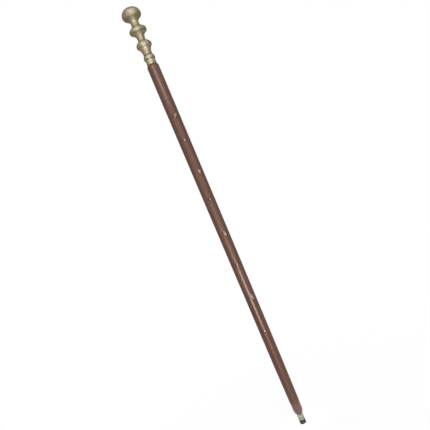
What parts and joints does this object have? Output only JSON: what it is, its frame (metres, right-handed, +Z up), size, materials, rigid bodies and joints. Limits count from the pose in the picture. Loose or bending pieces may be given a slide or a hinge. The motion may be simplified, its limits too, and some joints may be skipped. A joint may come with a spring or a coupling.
{
  "type": "walking cane",
  "caption": "Straight walking cane: tiered brass knob handle that unscrews, tapered hardwood shaft with brass inlays, brass end ferrule and pull-off rubber tip.",
  "frame": {"origin": "middle of the rubber tip's ground face", "axes": "+Z up along the cane to the crown of the knob, -Y towards the side with the inlays, +X to that side's right"},
  "size_m": [0.0403, 0.0402, 0.9144],
  "materials": {
    "handle_brass": "turned, polished and aged",
    "plated_steel": "zinc plated",
    "insert_brass": "machined",
    "stained_hardwood": "stained dark reddish brown and varnished",
    "inlay_brass": "filed flush and dulled",
    "ferrule_brass": "turned, worn and pale",
    "black_rubber": "matt, a little dusty"
  },
  "bodies": {
    "shaft": {"shaft": "stained_hardwood", "threaded_insert": "insert_brass", "diamond_inlay_1": "inlay_brass", "diamond_inlay_2": "inlay_brass", "diamond_inlay_3": "inlay_brass", "diamond_inlay_4": "inlay_brass", "dot_inlay_1": "inlay_brass", "dot_inlay_2": "inlay_brass", "dot_inlay_3": "inlay_brass", "dot_inlay_4": "inlay_brass", "end_ferrule": "ferrule_brass"},
    "tie_rod": {"tie_rod": "plated_steel"},
    "handle": {"knob": "handle_brass", "upper_bell": "handle_brass", "lower_bell": "handle_brass", "handle_collar": "handle_brass", "lock_nut": "plated_steel", "lock_washer": "plated_steel"},
    "rubber_tip": {"rubber_tip": "black_rubber"}
  },
  "joints": [
    {"name": "handle_lift", "type": "slide", "parent": "shaft", "child": "tie_rod", "axis": [0, 0, 1], "range_m": [0, 0.02]},
    {"name": "handle_turn", "type": "hinge", "parent": "tie_rod", "child": "handle", "pos_m": [0, 0, 0.7893], "axis": [0, 0, 1], "range_deg": [0, 5780]},
    {"name": "tip_pull", "type": "slide", "parent": "shaft", "child": "rubber_tip", "axis": [0, 0, -1], "range_m": [0, 0.017]}
  ],
  "couplings": [
    {"joint": "handle_turn", "follows": "handle_lift", "rad_per_m": 5026.5}
  ]
}
